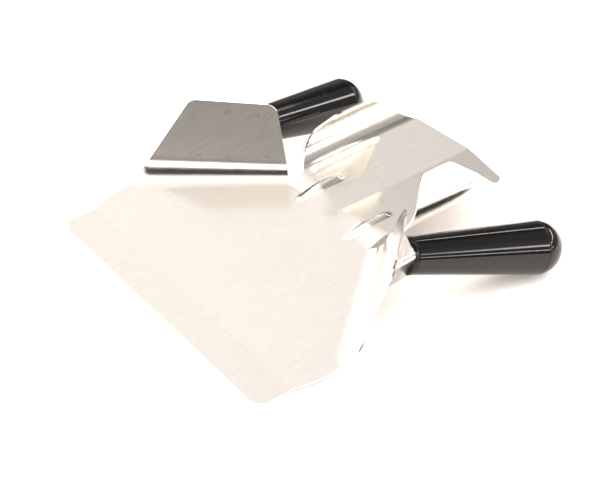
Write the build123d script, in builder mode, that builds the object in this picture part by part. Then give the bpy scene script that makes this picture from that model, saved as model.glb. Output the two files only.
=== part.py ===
from build123d import *
import math
import os

os.makedirs("parts", exist_ok=True)

# ---------------------------------------------------------------- sheet and pan floor (mm)
SHEET = 1.0                     # stainless sheet thickness
BEND_R = 12.5                   # inside radius of every folded wall
PAN_WIDTH = 209.6               # across the straight front lip
LIP_LENGTH = 23.0               # front edge to the crease behind the lip
LIP_ANGLE = 3.0                 # the lip lies this much flatter than the floor
LIP_CORNER = 7.5                # corner radius of the lip
FLARE_START = LIP_LENGTH + 2.0  # the side edges flare outwards behind the lip
FLARE_MID = 30.0
FLARE_OUT = 2.0                 # flare at FLARE_MID, per side
FLARE_FULL = 4.2                # flare where the walls begin, per side
BEND_START_Y = 52.0             # front end of the wall fold lines
NECK_START = 124.0              # floor stays flat, and the fold lines run, up to here

# ---------------------------------------------------------------- pan side walls (mm)
WALL_ANGLE = 65.0               # wall face above the floor plane
WALL_FRONT_H = 49.3             # slant height at the front top corner
WALL_REAR_H = 45.2              # slant height at the rear top corner
WALL_FRONT_S = 39.3             # front top corner, along the fold line
WALL_REAR_SET = 6.2             # rear top corner, ahead of the wall's rear foot
WALL_OVERRUN = 0.5              # rear foot, beyond the end of the flat floor
WALL_CORNER = 7.5               # radius of the top corners

# ---------------------------------------------------------------- discharge spout (mm)
SPOUT_START = NECK_START + 11.0  # hinge line of the spout slope, from the front edge
SPOUT_RISE = 3.5                # spout side lines above the pan floor at the neck
SPOUT_DROP = 4.2                # downward slope of the spout, degrees
SPOUT_HALF = 40.3               # centre line to the start of the rolled side
NECK_STEP = 0.6                 # flat floor's end stands this much wider than the spout, per side
SPOUT_V = 4.3                   # depth of the centre crease below the side lines
SPOUT_LENGTH = 100.0            # hinge line to the rear tip
SPOUT_CORNER_BACK = 8.0         # the rear corners sit this far ahead of the tip
SPOUT_ROLL = 127.7              # total turn of the rolled side, degrees
SPOUT_TAB = 40.1                # developed height of the rolled side
SPOUT_FRONT_SLOPE = 0.71        # set-back of the tab's front edge per mm of height
SPOUT_REAR_SLOPE = 1.0          # set-forward of the tab's rear edge per mm of height
TAB_CORNER_SHARE = 0.32         # radius of the tab's top corners, as a share of its top edge
NECK_LENGTH = 2.0               # plain spout section ahead of the tabs

# ---------------------------------------------------------------- stiffening ribs (mm)
RIB_X = 24.3                    # rib centre line from the middle
RIB_START = NECK_START - 0.5    # centre of the front round end
RIB_END = SPOUT_START + 15.0    # centre of the rear round end
RIB_WIDTH = 6.6
RIB_HEIGHT = 1.9

# ---------------------------------------------------------------- handle brackets (mm)
BRACKET_SHEET = 1.5
HANDLE_SET = 25.6               # handle axis, ahead of the wall's rear foot
HANDLE_H = 28.0                 # and this slant height
HANDLE_OUT = 13.6               # and this distance off the wall's inner face
HANDLE_ANGLE = 57.5             # axis above the wall's face
SEAT_BACK = 6.0                 # bracket end face, back along the axis from that place
WEDGE_HALF = 10.6               # half width of the raised wedge
WEDGE_TOP = 9.4                 # axis to the ridge, in the end face
RAMP_SET = 29.5                 # foot of the long front ramp, ahead of the handle axis
WEDGE_EDGE = 3.0                # radius of the folds at the ridge
FLANGE_SET = 9.1                # flange's rear end, ahead of the wall's rear foot
FLANGE_LENGTH = 54.0
FLANGE_ABOVE_BEND = 0.6
FLANGE_WIDTH = 34.9
FLANGE_CORNER = 5.0

# ---------------------------------------------------------------- handles and fixings (mm)
GRIP_FRONT_D = 22.4
GRIP_REAR_D = 32.6
COLLAR_D = GRIP_FRONT_D + 0.4
COLLAR_T = 4.0
COLLAR_EDGE = 0.7
GRIP_END = 90.2                 # bracket end face to the seam of the end cap
GRIP_EDGE = 0.5
BOLT_D = 5.0
BOLT_HEAD_AF = 1.6 * BOLT_D
BOLT_HEAD_T = 0.7 * BOLT_D
BOLT_EDGE = 0.4
INSERT_D = BOLT_D + 4.0
INSERT_LENGTH = 20.0
INSERT_FLANGE_D = INSERT_D + 3.0
INSERT_FLANGE_T = 1.5
BOLT_REACH = 22.0               # shank length beyond the bracket end face
CAP_SPIGOT_D = GRIP_REAR_D - 12.6
CAP_SPIGOT_L = 10.0
CAP_HOLLOW_D = CAP_SPIGOT_D / 2
BORE_CLEAR = 0.05               # radial, moulded in or driven home
BOLT_CLEAR = 0.25               # radial, through bracket and collar
END_CLEAR = 0.5                 # axial, at the bottom of blind sockets

# ---------------------------------------------------------------- derived sizes
HALF_WIDTH = PAN_WIDTH / 2
LIP_RISE = LIP_LENGTH * math.tan(math.radians(LIP_ANGLE))
BEND_START_X = HALF_WIDTH + FLARE_FULL
BEND_END_X = SPOUT_HALF + NECK_STEP
FOLD_LENGTH = math.hypot(BEND_END_X - BEND_START_X, NECK_START - BEND_START_Y)
FOLD_X = (BEND_END_X - BEND_START_X) / FOLD_LENGTH
FOLD_Y = (NECK_START - BEND_START_Y) / FOLD_LENGTH
WALL_TURN = math.radians(WALL_ANGLE)
FOOT = BEND_R * math.tan(WALL_TURN / 2)
WALL_BASE_H = -FOOT * math.cos(WALL_TURN)
WALL_END_S = FOLD_LENGTH + WALL_OVERRUN
WALL_REAR_S = WALL_END_S - WALL_REAR_SET
HANDLE_S = WALL_END_S - HANDLE_SET
WEDGE_FRONT_S = HANDLE_S - RAMP_SET
FLANGE_MID_S = WALL_END_S - FLANGE_SET - FLANGE_LENGTH / 2
FLANGE_MID_H = FOOT + FLANGE_ABOVE_BEND + FLANGE_WIDTH / 2
SEAT_S = HANDLE_S - SEAT_BACK * math.cos(math.radians(HANDLE_ANGLE))
SEAT_W = HANDLE_OUT - SEAT_BACK * math.sin(math.radians(HANDLE_ANGLE))
CAP_R = GRIP_REAR_D / 2
V_SLOPE = math.atan2(SPOUT_V, SPOUT_HALF)
SPOUT_SIDE_LOW = (SPOUT_HALF + SHEET * math.sin(V_SLOPE), -SHEET * math.cos(V_SLOPE))
FLOOR_REACH = SPOUT_HALF + SHEET
FLOOR_REAR = SPOUT_LENGTH - SPOUT_CORNER_BACK * FLOOR_REACH / SPOUT_HALF
CUT = 4 * BEND_R                # generous reach for trimming tools
RIB_R = (RIB_WIDTH ** 2 / 4 + RIB_HEIGHT ** 2) / (2 * RIB_HEIGHT)
RIB_SINK = RIB_R - RIB_HEIGHT


def within(frame, plane):
    """A plane given in another plane's coordinates."""
    return Plane(frame.location * plane.location)


def fold_point(s, n, z=0.0):
    """Pan point at s along the fold line, n outwards from it and z above the floor."""
    return Vector(BEND_START_X + s * FOLD_X + n * FOLD_Y, BEND_START_Y + s * FOLD_Y - n * FOLD_X, z)


OUTWARD = Vector(FOLD_Y, -FOLD_X, 0)
ALONG = Vector(FOLD_X, FOLD_Y, 0)
WALL_NORMAL = OUTWARD * math.sin(WALL_TURN) - Vector(0, 0, 1) * math.cos(WALL_TURN)
WALL_LOCAL = Plane(origin=fold_point(0, FOOT), x_dir=ALONG, z_dir=WALL_NORMAL)
SEAT_AXIS = (math.cos(math.radians(HANDLE_ANGLE)), 0, math.sin(math.radians(HANDLE_ANGLE)))
SEAT_SIDE = (math.sin(math.radians(HANDLE_ANGLE)), 0, -math.cos(math.radians(HANDLE_ANGLE)))
SEAT_ON_WALL = Plane(origin=(SEAT_S, HANDLE_H, SEAT_W), x_dir=SEAT_SIDE, z_dir=SEAT_AXIS)
SEAT_LOCAL = within(WALL_LOCAL, SEAT_ON_WALL)
CAP_CENTRE = SEAT_LOCAL.from_local_coords((0, 0, GRIP_END))

# The scoop rests on the lip's front edge and on both end caps, which sets the floor's slope.
EDGE_Z = LIP_RISE - SHEET
REST_TILT = (math.asin(CAP_R / math.hypot(CAP_CENTRE.Y, CAP_CENTRE.Z - EDGE_Z))
             - math.atan2(CAP_CENTRE.Z - EDGE_Z, CAP_CENTRE.Y))
TILT_C = math.cos(REST_TILT)
TILT_S = math.sin(REST_TILT)
SPOUT_LOCAL = Plane(
    origin=(0, SPOUT_START, SPOUT_RISE), x_dir=(1, 0, 0),
    z_dir=(0, math.sin(math.radians(SPOUT_DROP)), math.cos(math.radians(SPOUT_DROP))))
SPOUT_TIP = SPOUT_LOCAL.from_local_coords((0, SPOUT_LENGTH, -SPOUT_V - SHEET))
FRONT_REACH = -LIP_RISE * TILT_S
BACK_REACH = SPOUT_TIP.Y * TILT_C - SPOUT_TIP.Z * TILT_S
PAN_ORIGIN = (0, -(FRONT_REACH + BACK_REACH) / 2, -EDGE_Z * TILT_C)

# ---------------------------------------------------------------- working planes, all in the row frame
PAN = Plane(origin=PAN_ORIGIN, x_dir=(1, 0, 0), z_dir=(0, -TILT_S, TILT_C))
WALL = within(PAN, WALL_LOCAL)
SEAT = within(PAN, SEAT_LOCAL)
SIDE_VIEW = within(PAN, Plane.YZ)
FOLD_END = within(PAN, Plane(origin=fold_point(WALL_END_S, 0), x_dir=OUTWARD, z_dir=-ALONG))
SPOUT = within(PAN, SPOUT_LOCAL)
SPOUT_SIDE = within(SPOUT, Plane.YZ)
SPOUT_END = within(SPOUT, Plane(origin=(0, SPOUT_LENGTH, 0), x_dir=(1, 0, 0), z_dir=(0, -1, 0)))
SPOUT_NECK = within(SPOUT, Plane(origin=(0, NECK_LENGTH, 0), x_dir=(1, 0, 0), z_dir=(0, -1, 0)))
PAN_NECK = within(PAN, Plane(origin=(0, NECK_START, 0), x_dir=(1, 0, 0), z_dir=(0, -1, 0)))


# ================================================================ scoop pan: one folded sheet
with BuildPart() as pan_floor:
    with BuildSketch(SIDE_VIEW):
        with BuildLine():
            Polyline(
                (0, LIP_RISE), (LIP_LENGTH, 0), (NECK_START, 0),
                (NECK_START, -SHEET), (LIP_LENGTH, -SHEET), (0, EDGE_Z), close=True)
        make_face()
    extrude(amount=PAN_WIDTH, both=True)
    with BuildSketch(PAN):
        with BuildLine():
            Polyline(
                (0, 0), (HALF_WIDTH, 0), (HALF_WIDTH, FLARE_START), (HALF_WIDTH + FLARE_OUT, FLARE_MID),
                (BEND_START_X, BEND_START_Y - BEND_R), (BEND_START_X, BEND_START_Y),
                (BEND_END_X, NECK_START), (0, NECK_START), close=True)
        make_face()
        mirror(about=Plane.YZ)
        fillet(vertices().group_by(Axis.Y)[0].sort_by(Axis.X)[0], LIP_CORNER)
        fillet(vertices().group_by(Axis.Y)[0].sort_by(Axis.X)[-1], LIP_CORNER)
    extrude(amount=CUT, both=True, mode=Mode.INTERSECT)

with BuildPart() as pan_wall:
    with BuildSketch(FOLD_END):
        with BuildLine():
            fold = JernArc((0, 0), (1, 0), BEND_R, WALL_ANGLE)
            Line(fold @ 1, fold @ 1 + (fold % 1) * (WALL_FRONT_H + BEND_R))
            offset(amount=SHEET, side=Side.RIGHT)
        make_face()
    extrude(amount=WALL_END_S + CUT)
    with BuildSketch(WALL):
        with BuildLine():
            Polyline(
                (0, WALL_BASE_H - SHEET), (0, WALL_BASE_H), (WALL_FRONT_S, WALL_FRONT_H),
                (WALL_REAR_S, WALL_REAR_H), (WALL_END_S, WALL_BASE_H), (WALL_END_S, WALL_BASE_H - SHEET),
                close=True)
        make_face()
        fillet(vertices().sort_by(Axis.Y)[-2:], WALL_CORNER)
    extrude(amount=CUT, both=True, mode=Mode.INTERSECT)

with BuildPart() as neck:
    with BuildSketch(PAN_NECK):
        with BuildLine():
            Polyline((0, 0), (BEND_END_X, 0), (BEND_END_X, -SHEET), (0, -SHEET), close=True)
        make_face()
    with BuildSketch(SPOUT_NECK):
        with BuildLine():
            Polyline(
                (0, -SPOUT_V), (SPOUT_HALF, 0), SPOUT_SIDE_LOW, (0, -SPOUT_V - SHEET), close=True)
        make_face()
    loft(ruled=True)

with BuildPart() as spout_floor:
    with BuildSketch(SPOUT_NECK):
        with BuildLine():
            Polyline(
                (0, -SPOUT_V), (SPOUT_HALF, 0), SPOUT_SIDE_LOW, (0, -SPOUT_V - SHEET), close=True)
        make_face()
        mirror(about=Plane.YZ)
    extrude(amount=-(SPOUT_LENGTH - NECK_LENGTH))
    with BuildSketch(SPOUT):
        with BuildLine():
            Polyline(
                (-FLOOR_REACH, 0), (FLOOR_REACH, 0), (FLOOR_REACH, FLOOR_REAR),
                (0, SPOUT_LENGTH), (-FLOOR_REACH, FLOOR_REAR), close=True)
        make_face()
    extrude(amount=CUT, both=True, mode=Mode.INTERSECT)

ROLL = math.radians(SPOUT_ROLL) - V_SLOPE
ROLL_TOP = BEND_R * (math.cos(V_SLOPE) - math.cos(V_SLOPE + ROLL))
TAB_STRAIGHT = SPOUT_TAB - BEND_R * ROLL
TAB_TOP = ROLL_TOP + TAB_STRAIGHT * math.sin(V_SLOPE + ROLL)
TAB_FRONT = NECK_LENGTH
TAB_REAR = SPOUT_LENGTH - SPOUT_CORNER_BACK
TAB_EDGE = TAB_REAR - TAB_FRONT - (SPOUT_FRONT_SLOPE + SPOUT_REAR_SLOPE) * SPOUT_TAB
TAB_CORNER = TAB_CORNER_SHARE * TAB_EDGE
TAB_STEPS = 8


def tab_edge(start, slope):
    """Side view of a straight developed edge, carried round the rolled side."""
    turns = [ROLL * i / TAB_STEPS for i in range(TAB_STEPS + 1)]
    return [(start + slope * BEND_R * a, BEND_R * (math.cos(V_SLOPE) - math.cos(V_SLOPE + a))) for a in turns]


with BuildPart() as spout_side:
    with BuildSketch(SPOUT_END):
        with BuildLine():
            roll = JernArc((SPOUT_HALF, 0), (SPOUT_HALF, SPOUT_V), BEND_R, math.degrees(ROLL))
            Line(roll @ 1, roll @ 1 + (roll % 1) * TAB_STRAIGHT)
            offset(amount=SHEET, side=Side.RIGHT)
        make_face()
    extrude(amount=SPOUT_LENGTH)
    with BuildSketch(SPOUT_SIDE):
        with BuildLine():
            Polyline((TAB_REAR, -CUT), (TAB_FRONT, -CUT), (TAB_FRONT, 0))
            Spline(*tab_edge(TAB_FRONT, SPOUT_FRONT_SLOPE))
            Polyline(
                (TAB_FRONT + SPOUT_FRONT_SLOPE * BEND_R * ROLL, ROLL_TOP),
                (TAB_FRONT + SPOUT_FRONT_SLOPE * SPOUT_TAB, TAB_TOP + SHEET),
                (TAB_REAR - SPOUT_REAR_SLOPE * SPOUT_TAB, TAB_TOP + SHEET),
                (TAB_REAR - SPOUT_REAR_SLOPE * BEND_R * ROLL, ROLL_TOP))
            Spline(*tab_edge(TAB_REAR, -SPOUT_REAR_SLOPE))
            Line((TAB_REAR, 0), (TAB_REAR, -CUT))
        make_face()
        fillet(vertices().group_by(Axis.Y)[-1], TAB_CORNER)
    extrude(amount=PAN_WIDTH, both=True, mode=Mode.INTERSECT)


def rib_point(y):
    """Point on the floor's upper face below the rib's centre line, in the pan's frame."""
    share = (SPOUT_HALF - RIB_X) / SPOUT_HALF
    start = SPOUT_LOCAL.from_local_coords((RIB_X, NECK_LENGTH, -SPOUT_V * share))
    if y <= start.Y:
        return Vector(RIB_X, y, start.Z * max(0, y - NECK_START) / (start.Y - NECK_START))
    return Vector(RIB_X, y, start.Z - (y - start.Y) * math.tan(math.radians(SPOUT_DROP)))


def bead(radius, low):
    """Pieces of one half-round bead over the neck, kept above the level low."""
    crest = rib_point(SPOUT_LOCAL.from_local_coords((0, NECK_LENGTH, 0)).Y)
    points = (rib_point(RIB_START), crest, rib_point(RIB_END))
    pieces = []
    for first, last in zip(points, points[1:]):
        run = last - first
        frame = within(PAN, Plane(origin=first, x_dir=run, z_dir=Vector(1, 0, 0).cross(run)))
        with BuildPart() as piece:
            with BuildSketch(within(frame, Plane.YZ)):
                with Locations((0, -RIB_SINK)):
                    Circle(radius)
                with Locations((0, low)):
                    Rectangle(CUT, CUT, align=(Align.CENTER, Align.MIN), mode=Mode.INTERSECT)
            extrude(amount=run.length)
            for x in (0, run.length):
                end = within(frame, Plane(origin=(x, 0, 0), x_dir=(1, 0, 0), z_dir=(0, -1, 0)))
                with BuildSketch(end):
                    with Locations((0, -RIB_SINK)):
                        Circle(radius)
                    with Locations((0, low)):
                        Rectangle(CUT, CUT, align=(Align.MIN, Align.MIN), mode=Mode.INTERSECT)
                revolve(axis=Axis(end.origin, frame.z_dir))
        pieces.append(piece.part)
    return pieces


beads = bead(RIB_R, -SHEET / 2)
grooves = bead(RIB_R - SHEET, -2 * SHEET)

with BuildPart() as scoop_pan:
    add(pan_floor.part)
    add(neck.part)
    mirror(neck.part, about=Plane.YZ)
    add(spout_floor.part)
    add(pan_wall.part)
    mirror(pan_wall.part, about=Plane.YZ)
    add(spout_side.part)
    mirror(spout_side.part, about=Plane.YZ)
    for piece in beads:
        add(piece)
        mirror(piece, about=Plane.YZ)
    for piece in grooves:
        add(piece, mode=Mode.SUBTRACT)
        mirror(piece, about=Plane.YZ, mode=Mode.SUBTRACT)
scoop_pan.part.label = "scoop_pan"
export_step(scoop_pan.part, "parts/scoop_pan.step")

# ================================================================ handle brackets: pressed and spot welded
WEDGE_PLANE = within(WALL, Plane(origin=(0, HANDLE_H, 0), x_dir=(1, 0, 0), z_dir=(0, -1, 0)))
SEAT_TAN = math.tan(math.radians(HANDLE_ANGLE))
RIDGE_S = SEAT_S - WEDGE_TOP * math.sin(math.radians(HANDLE_ANGLE))
RIDGE_W = SEAT_W + WEDGE_TOP * math.cos(math.radians(HANDLE_ANGLE))
RAMP_TAN = (RIDGE_S - WEDGE_FRONT_S) / (RIDGE_W - SHEET)


def wedge_outline(level):
    """Side profile of the wedge, its base at the given distance from the wall's inner face."""
    front = RIDGE_S - (RIDGE_W - level) * RAMP_TAN
    foot = SEAT_S + (SEAT_W - level) * SEAT_TAN
    return (front, level), (RIDGE_S, RIDGE_W), (foot, level)


with BuildPart() as wedge:
    with BuildSketch(WEDGE_PLANE):
        with BuildLine():
            Polyline(*wedge_outline(SHEET), close=True)
        make_face()
    extrude(amount=WEDGE_HALF, both=True)
    ramp = faces().sort_by(Axis(WALL.origin, WALL.x_dir))[0]
    fillet(ramp.edges().filter_by(lambda e: abs(e.tangent_at(0).dot(WALL.y_dir)) < abs(SEAT_AXIS[0])), WEDGE_EDGE)

with BuildPart() as bracket_left:
    with BuildSketch(WALL.offset(SHEET)):
        with Locations((FLANGE_MID_S, FLANGE_MID_H)):
            RectangleRounded(FLANGE_LENGTH, FLANGE_WIDTH, FLANGE_CORNER)
    extrude(amount=BRACKET_SHEET)
    add(wedge.part)
    with BuildSketch(WEDGE_PLANE):
        with BuildLine():
            Polyline(*wedge_outline(SHEET - BRACKET_SHEET), close=True)
        make_face()
        offset(amount=-BRACKET_SHEET, kind=Kind.INTERSECTION, mode=Mode.REPLACE)
    extrude(amount=WEDGE_HALF - BRACKET_SHEET, both=True, mode=Mode.SUBTRACT)
    with BuildSketch(SEAT):
        Circle(BOLT_D / 2 + BOLT_CLEAR)
    extrude(amount=-(BRACKET_SHEET + BOLT_HEAD_T), mode=Mode.SUBTRACT)
bracket_left.part.label = "bracket_left"
export_step(bracket_left.part, "parts/bracket_left.step")

with BuildPart() as bracket_right:
    mirror(bracket_left.part, about=Plane.YZ)
bracket_right.part.label = "bracket_right"
export_step(bracket_right.part, "parts/bracket_right.step")

# ================================================================ bolts: from inside the bracket into the grip
with BuildPart() as bolt_left:
    with BuildSketch(SEAT.offset(-BRACKET_SHEET)):
        RegularPolygon(BOLT_HEAD_AF / 2, 6, major_radius=False)
    extrude(amount=-BOLT_HEAD_T)
    with BuildSketch(SEAT.offset(-BRACKET_SHEET)):
        Circle(BOLT_D / 2)
    extrude(amount=BRACKET_SHEET + BOLT_REACH)
    chamfer(faces().sort_by(Axis(SEAT.origin, SEAT.z_dir))[-1].edges(), BOLT_EDGE)
bolt_left.part.label = "bolt_left"
export_step(bolt_left.part, "parts/bolt_left.step")

with BuildPart() as bolt_right:
    mirror(bolt_left.part, about=Plane.YZ)
bolt_right.part.label = "bolt_right"
export_step(bolt_right.part, "parts/bolt_right.step")

# ================================================================ collars: black rings between bracket and grip
with BuildPart() as collar_left:
    with BuildSketch(SEAT):
        Circle(COLLAR_D / 2)
        Circle(BOLT_D / 2 + BOLT_CLEAR, mode=Mode.SUBTRACT)
    extrude(amount=COLLAR_T)
    chamfer(edges().filter_by(GeomType.CIRCLE).sort_by(SortBy.RADIUS)[-2:], COLLAR_EDGE)
collar_left.part.label = "collar_left"
export_step(collar_left.part, "parts/collar_left.step")

with BuildPart() as collar_right:
    mirror(collar_left.part, about=Plane.YZ)
collar_right.part.label = "collar_right"
export_step(collar_right.part, "parts/collar_right.step")

# ================================================================ grips, inserts and end caps: turned about the handle axis
HANDLE_SECTION = within(SEAT, Plane.XZ)
HANDLE_AXIS = Axis(SEAT.origin, SEAT.z_dir)
INSERT_END = COLLAR_T + INSERT_LENGTH
INSERT_LIP = COLLAR_T + INSERT_FLANGE_T

with BuildPart() as grip_left:
    with BuildSketch(HANDLE_SECTION):
        with BuildLine():
            Polyline(
                (INSERT_FLANGE_D / 2 + BORE_CLEAR, COLLAR_T),
                (GRIP_FRONT_D / 2 - GRIP_EDGE, COLLAR_T),
                (GRIP_FRONT_D / 2, COLLAR_T + GRIP_EDGE),
                (GRIP_REAR_D / 2, GRIP_END),
                (CAP_SPIGOT_D / 2 + BORE_CLEAR, GRIP_END),
                (CAP_SPIGOT_D / 2 + BORE_CLEAR, GRIP_END - CAP_SPIGOT_L - END_CLEAR),
                (0, GRIP_END - CAP_SPIGOT_L - END_CLEAR),
                (0, INSERT_END + END_CLEAR),
                (INSERT_D / 2 + BORE_CLEAR, INSERT_END + END_CLEAR),
                (INSERT_D / 2 + BORE_CLEAR, INSERT_LIP),
                (INSERT_FLANGE_D / 2 + BORE_CLEAR, INSERT_LIP), close=True)
        make_face()
    revolve(axis=HANDLE_AXIS)
grip_left.part.label = "grip_left"
export_step(grip_left.part, "parts/grip_left.step")

with BuildPart() as grip_right:
    mirror(grip_left.part, about=Plane.YZ)
grip_right.part.label = "grip_right"
export_step(grip_right.part, "parts/grip_right.step")

with BuildPart() as insert_left:
    with BuildSketch(HANDLE_SECTION):
        with BuildLine():
            Polyline(
                (BOLT_D / 2 + BORE_CLEAR, COLLAR_T), (INSERT_FLANGE_D / 2, COLLAR_T),
                (INSERT_FLANGE_D / 2, INSERT_LIP), (INSERT_D / 2, INSERT_LIP),
                (INSERT_D / 2, INSERT_END), (BOLT_D / 2 + BORE_CLEAR, INSERT_END), close=True)
        make_face()
    revolve(axis=HANDLE_AXIS)
insert_left.part.label = "insert_left"
export_step(insert_left.part, "parts/insert_left.step")

with BuildPart() as insert_right:
    mirror(insert_left.part, about=Plane.YZ)
insert_right.part.label = "insert_right"
export_step(insert_right.part, "parts/insert_right.step")

with BuildPart() as end_cap_left:
    with BuildSketch(HANDLE_SECTION):
        with BuildLine():
            CenterArc((0, GRIP_END), CAP_R, 0, 90)
            Polyline(
                (0, GRIP_END + CAP_R), (0, GRIP_END), (CAP_HOLLOW_D / 2, GRIP_END),
                (CAP_HOLLOW_D / 2, GRIP_END - CAP_SPIGOT_L), (CAP_SPIGOT_D / 2, GRIP_END - CAP_SPIGOT_L),
                (CAP_SPIGOT_D / 2, GRIP_END), (CAP_R, GRIP_END))
        make_face()
    revolve(axis=HANDLE_AXIS)
end_cap_left.part.label = "end_cap_left"
export_step(end_cap_left.part, "parts/end_cap_left.step")

with BuildPart() as end_cap_right:
    mirror(end_cap_left.part, about=Plane.YZ)
end_cap_right.part.label = "end_cap_right"
export_step(end_cap_right.part, "parts/end_cap_right.step")
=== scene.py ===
import math

import bmesh
import bpy
from bpy.props import FloatProperty, FloatVectorProperty, IntProperty, PointerProperty
from mathutils import Matrix, Vector


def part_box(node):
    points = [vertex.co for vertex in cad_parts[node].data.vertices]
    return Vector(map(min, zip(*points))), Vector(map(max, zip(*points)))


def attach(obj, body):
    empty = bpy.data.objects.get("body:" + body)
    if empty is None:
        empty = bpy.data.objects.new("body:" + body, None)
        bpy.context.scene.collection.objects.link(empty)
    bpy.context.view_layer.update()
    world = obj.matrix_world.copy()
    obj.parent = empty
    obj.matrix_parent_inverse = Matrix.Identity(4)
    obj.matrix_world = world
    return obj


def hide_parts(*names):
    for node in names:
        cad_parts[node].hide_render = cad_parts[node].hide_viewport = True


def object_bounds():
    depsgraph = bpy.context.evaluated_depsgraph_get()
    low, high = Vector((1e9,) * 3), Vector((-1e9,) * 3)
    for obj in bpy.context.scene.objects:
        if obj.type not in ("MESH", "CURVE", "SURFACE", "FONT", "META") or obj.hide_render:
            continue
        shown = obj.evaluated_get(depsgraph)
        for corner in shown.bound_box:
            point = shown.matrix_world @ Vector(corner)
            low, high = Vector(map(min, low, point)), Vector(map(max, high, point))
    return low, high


bl_info = {
    "name": "Bagging Scoop",
    "version": (1, 0, 0),
    "blender": (4, 5, 0),
    "location": "View3D > Sidebar > Scoop",
    "description": "Finishes a folded stainless bagging scoop with two black handles",
    "category": "Object",
}

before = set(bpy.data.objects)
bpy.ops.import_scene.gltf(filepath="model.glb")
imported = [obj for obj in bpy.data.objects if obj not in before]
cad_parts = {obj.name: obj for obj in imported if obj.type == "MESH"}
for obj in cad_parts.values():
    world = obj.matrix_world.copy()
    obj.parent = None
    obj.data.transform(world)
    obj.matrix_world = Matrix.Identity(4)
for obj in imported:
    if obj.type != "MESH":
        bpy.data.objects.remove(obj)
CAD_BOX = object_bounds()
MM = 0.001
SIDES = (("left", 1), ("right", -1))
MERGE = 0.00012                 # vertices of the blank closer than this become one
MERGE_SEAM = 0.00005            # the same where its two halves meet
MERGE_PRESSED = 0.00001         # and on a bracket's mesh
TINY = 1e-6                     # rounding allowed when places are compared
BLANK_SCALE = 3.2               # metres on the blank to texture units
WELDS = (                       # spot welds of a wall in mm: along the fold line, up the wall
    (40.9, 39.1), (62.5, 40.9), (81.6, 38.6), (43.0, 13.5), (61.3, 11.7), (86.0, 12.2))


def length(name, description, default):
    """A length property, its default in millimetres."""
    return FloatProperty(
        name=name, description=description, default=default * MM, unit="LENGTH", precision=5)


def turn(name, description, default):
    """An angle property, its default in degrees."""
    return FloatProperty(
        name=name, description=description, default=math.radians(default), subtype="ANGLE")


def number(name, description, default):
    return FloatProperty(name=name, description=description, default=default)


def colour(name, description, default):
    return FloatVectorProperty(
        name=name, description=description, default=default, size=3, subtype="COLOR")


# ---------------------------------------------------------------- sizes and colours a user would change
class PanSizes(bpy.types.PropertyGroup):
    sheet: length("Sheet", "Thickness of the stainless sheet", 1.0)
    bend: length("Bend radius", "Inside radius of every folded wall", 12.5)
    width: length("Width", "Across the straight front lip", 209.6)
    lip: length("Lip", "Front edge to the crease behind the lip", 23.0)
    lip_angle: turn("Lip angle", "The lip lies this much flatter than the floor", 3.0)
    lip_corner: length("Lip corner", "Corner radius of the lip", 7.5)
    flare_start: length("Flare start", "Where the side edges begin to flare", 25.0)
    flare_mid: length("Flare middle", "Second point of the flare, from the front edge", 30.0)
    flare_out: length("Flare step", "Flare at its second point, per side", 2.0)
    flare: length("Flare", "Full flare per side", 4.2)
    flare_round: length("Flare rounding", "Corner radius along the flare", 6.0)
    crease: length("Crease softness", "Half width of the rounded crease behind the lip", 1.5)
    bend_more: length("Front bend", "How much larger the bend radius is at the front of a wall", 8.0)
    bend_run: length("Front bend run", "Length over which the bend opens at the front", 10.0)
    bend_keep: number("Rear bend share", "Share of the front opening that is left at the rear", 0.2)
    bend_start: length("Bend start", "Front end of the wall fold lines", 52.0)
    neck: length("Neck", "Rear end of the flat floor", 124.0)
    wall_turn: turn("Wall angle", "Wall face above the floor", 65.0)
    wall_front_h: length("Wall front height", "Slant height at the front top corner", 49.3)
    wall_rear_h: length("Wall rear height", "Slant height at the rear top corner", 45.2)
    wall_front_s: length("Wall front corner", "Front top corner along the fold line", 39.3)
    wall_rear_set: length("Wall rear set", "Rear top corner ahead of its foot", 6.2)
    wall_overrun: length("Wall overrun", "Wall foot beyond the flat floor's end", 0.5)
    wall_corner: length("Wall corner", "Radius of the walls' top corners", 7.5)
    grid: length("Grid", "Spacing of the mesh lines on the flat blank", 3.0)


class SpoutSizes(bpy.types.PropertyGroup):
    start: length("Start", "Hinge line of the spout's slope", 135.0)
    rise: length("Rise", "Spout side lines above the pan floor", 3.5)
    drop: turn("Drop", "Downward slope of the spout", 4.2)
    half: length("Half width", "Centre line to the start of the rolled side", 40.3)
    vee: length("Crease depth", "Depth of the centre crease", 4.3)
    long: length("Length", "Hinge line to the rear tip", 100.0)
    corner: length("Corner set", "Rear corners ahead of the tip", 8.0)
    roll: turn("Roll", "Total turn of the rolled side", 127.7)
    tab: length("Tab", "Developed height of the rolled side", 40.1)
    tab_corner: length("Tab corner", "Radius of the tab's top corners", 6.9)
    tab_foot: length("Tab foot", "Radius where the tab's front edge starts", 3.5)
    vee_soft: length("Crease softness", "Half width of the rounded centre crease", 1.6)
    front_slope: number("Front slope", "Set-back of the tab's front edge per height", 0.71)
    rear_slope: number("Rear slope", "Set-forward of the tab's rear edge per height", 1.0)
    neck: length("Plain neck", "Plain spout section ahead of the tabs", 2.0)
    rib_x: length("Rib place", "Rib centre line from the middle", 24.3)
    rib_start: length("Rib start", "Centre of the front round end", 123.5)
    rib_end: length("Rib end", "Centre of the rear round end", 150.0)
    rib_width: length("Rib width", "Width of a pressed rib", 6.6)
    rib_height: length("Rib height", "Height of a pressed rib", 1.9)
    rib_soft: length("Rib softness", "Run-out of a rib's foot beyond its width", 1.4)


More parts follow.
